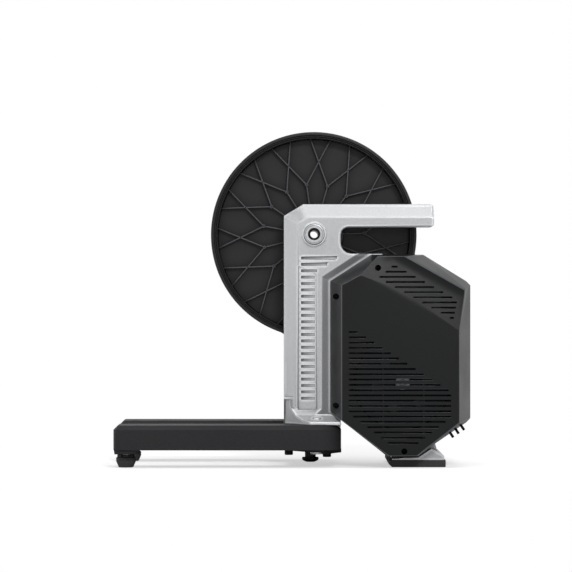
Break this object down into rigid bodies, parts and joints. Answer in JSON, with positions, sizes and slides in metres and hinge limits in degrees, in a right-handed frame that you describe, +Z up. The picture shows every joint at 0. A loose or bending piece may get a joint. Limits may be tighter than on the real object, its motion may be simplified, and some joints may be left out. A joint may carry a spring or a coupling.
{
  "type": "bike trainer",
  "caption": "Folding direct-drive bike trainer: silver cast upright with handle, ribbed belt wheel, slotted flywheel housing, swing-out legs and splined freehub.",
  "frame": {"origin": "on the floor, in the middle of the folded footprint, halfway between the dropout faces", "axes": "+X to the rear of the trainer (handle end, flywheel housing), +Y to the drive side (freehub), +Z up"},
  "size_m": [0.5186, 0.232, 0.4904],
  "materials": {
    "main_frame": "fine sand-textured silver paint on a casting",
    "flywheel_cover": "moulded satin black",
    "cover_screw_1": "black oxide",
    "cover_screw_2": "black oxide",
    "cover_screw_3": "black oxide",
    "cover_screw_4": "black oxide",
    "drive_side_guard": "moulded satin black",
    "guard_screw_1": "black oxide",
    "guard_screw_2": "black oxide",
    "guard_screw_3": "black oxide",
    "hollow_axle": "ground steel",
    "axle_lock_nut": "black oxide",
    "axle_end_cap_left": "turned, bright",
    "axle_end_cap_right": "turned, bright",
    "flywheel_bearing_left": "ground steel",
    "flywheel_bearing_right": "ground steel",
    "belt": "matt black",
    "tensioner_arm": "ground steel",
    "tensioner_bolt": "black oxide",
    "brake_core": "bare machined",
    "brake_coil": "enamelled copper windings",
    "hinge_plate": "satin black powder coat",
    "plate_bolt_1": "black oxide",
    "plate_bolt_2": "black oxide",
    "plate_bolt_3": "black oxide",
    "plate_bolt_4": "black oxide",
    "left_pivot_pin": "ground steel",
    "right_pivot_pin": "ground steel",
    "rear_foot_pad": "matt black",
    "control_board": "green solder mask",
    "power_inlet": "matt black glass-filled nylon",
    "status_light_1": "smoked",
    "status_light_2": "smoked",
    "status_light_3": "smoked",
    "drive_wheel": "matt black glass-filled nylon",
    "drive_hub": "turned, bright",
    "hub_bolt_1": "black oxide",
    "hub_bolt_2": "black oxide",
    "hub_bolt_3": "black oxide",
    "hub_bolt_4": "black oxide",
    "hub_bolt_5": "black oxide",
    "wheel_bearing_left": "ground steel",
    "wheel_bearing_right": "ground steel",
    "freehub_body": "ground steel",
    "flywheel": "bare machined",
    "flywheel_shaft": "ground steel",
    "small_pulley": "turned, bright",
    "tensioner_roller": "matt black glass-filled nylon",
    "centre_foot_knob": "matt black glass-filled nylon",
    "centre_foot_stud": "ground steel",
    "left_leg": "satin black powder coat",
    "left_foot_stud": "ground steel",
    "left_foot_ring": "matt black glass-filled nylon",
    "left_foot_cup": "matt black",
    "right_leg": "satin black powder coat",
    "right_foot_stud": "ground steel",
    "right_foot_ring": "matt black glass-filled nylon",
    "right_foot_cup": "matt black"
  },
  "bodies": {
    "base": {"main_frame": "main_frame", "flywheel_cover": "flywheel_cover", "cover_screw_1": "cover_screw_1", "cover_screw_2": "cover_screw_2", "cover_screw_3": "cover_screw_3", "cover_screw_4": "cover_screw_4", "drive_side_guard": "drive_side_guard", "guard_screw_1": "guard_screw_1", "guard_screw_2": "guard_screw_2", "guard_screw_3": "guard_screw_3", "hollow_axle": "hollow_axle", "axle_lock_nut": "axle_lock_nut", "axle_end_cap_left": "axle_end_cap_left", "axle_end_cap_right": "axle_end_cap_right", "flywheel_bearing_left": "flywheel_bearing_left", "flywheel_bearing_right": "flywheel_bearing_right", "belt": "belt", "tensioner_arm": "tensioner_arm", "tensioner_bolt": "tensioner_bolt", "brake_core": "brake_core", "brake_coil": "brake_coil", "hinge_plate": "hinge_plate", "plate_bolt_1": "plate_bolt_1", "plate_bolt_2": "plate_bolt_2", "plate_bolt_3": "plate_bolt_3", "plate_bolt_4": "plate_bolt_4", "left_pivot_pin": "left_pivot_pin", "right_pivot_pin": "right_pivot_pin", "rear_foot_pad": "rear_foot_pad", "control_board": "control_board", "power_inlet": "power_inlet", "status_light_1": "status_light_1", "status_light_2": "status_light_2", "status_light_3": "status_light_3"},
    "wheel": {"drive_wheel": "drive_wheel", "drive_hub": "drive_hub", "hub_bolt_1": "hub_bolt_1", "hub_bolt_2": "hub_bolt_2", "hub_bolt_3": "hub_bolt_3", "hub_bolt_4": "hub_bolt_4", "hub_bolt_5": "hub_bolt_5", "wheel_bearing_left": "wheel_bearing_left", "wheel_bearing_right": "wheel_bearing_right"},
    "freehub": {"freehub_body": "freehub_body"},
    "rotor": {"flywheel": "flywheel", "flywheel_shaft": "flywheel_shaft", "small_pulley": "small_pulley"},
    "roller": {"tensioner_roller": "tensioner_roller"},
    "centre_foot": {"centre_foot_knob": "centre_foot_knob", "centre_foot_stud": "centre_foot_stud"},
    "left_leg_arm": {"left_leg": "left_leg"},
    "left_foot": {"left_foot_stud": "left_foot_stud", "left_foot_ring": "left_foot_ring", "left_foot_cup": "left_foot_cup"},
    "right_leg_arm": {"right_leg": "right_leg"},
    "right_foot": {"right_foot_stud": "right_foot_stud", "right_foot_ring": "right_foot_ring", "right_foot_cup": "right_foot_cup"}
  },
  "joints": [
    {"name": "flywheel_spin", "type": "hinge", "parent": "base", "child": "rotor", "pos_m": [0.1584, 0, 0.1236], "axis": [0, 1, 0], "continuous": true},
    {"name": "wheel_spin", "type": "hinge", "parent": "base", "child": "wheel", "pos_m": [0.031, 0, 0.3385], "axis": [0, 1, 0], "continuous": true},
    {"name": "freehub_spin", "type": "hinge", "parent": "wheel", "child": "freehub", "pos_m": [0.031, 0, 0.3385], "axis": [0, 1, 0], "continuous": true},
    {"name": "roller_spin", "type": "hinge", "parent": "base", "child": "roller", "pos_m": [0.19582, 0, 0.21831], "axis": [0, 1, 0], "continuous": true},
    {"name": "left_leg_swing", "type": "hinge", "parent": "base", "child": "left_leg_arm", "pos_m": [0.035, -0.081, 0.044], "axis": [0, 0, 1], "range_deg": [0, 90]},
    {"name": "right_leg_swing", "type": "hinge", "parent": "base", "child": "right_leg_arm", "pos_m": [0.035, 0.081, 0.044], "axis": [0, 0, -1], "range_deg": [0, 90]},
    {"name": "left_foot_turn", "type": "hinge", "parent": "left_leg_arm", "child": "left_foot", "pos_m": [-0.2423, -0.081, 0.02], "axis": [0, 0, 1], "continuous": true},
    {"name": "right_foot_turn", "type": "hinge", "parent": "right_leg_arm", "child": "right_foot", "pos_m": [-0.2423, 0.081, 0.02], "axis": [0, 0, 1], "continuous": true},
    {"name": "centre_foot_turn", "type": "hinge", "parent": "base", "child": "centre_foot", "pos_m": [0.026, 0, 0.02], "axis": [0, 0, 1], "continuous": true}
  ],
  "couplings": [
    {"joint": "wheel_spin", "follows": "flywheel_spin", "ratio": 0.17123},
    {"joint": "roller_spin", "follows": "flywheel_spin", "ratio": -2.0833}
  ]
}
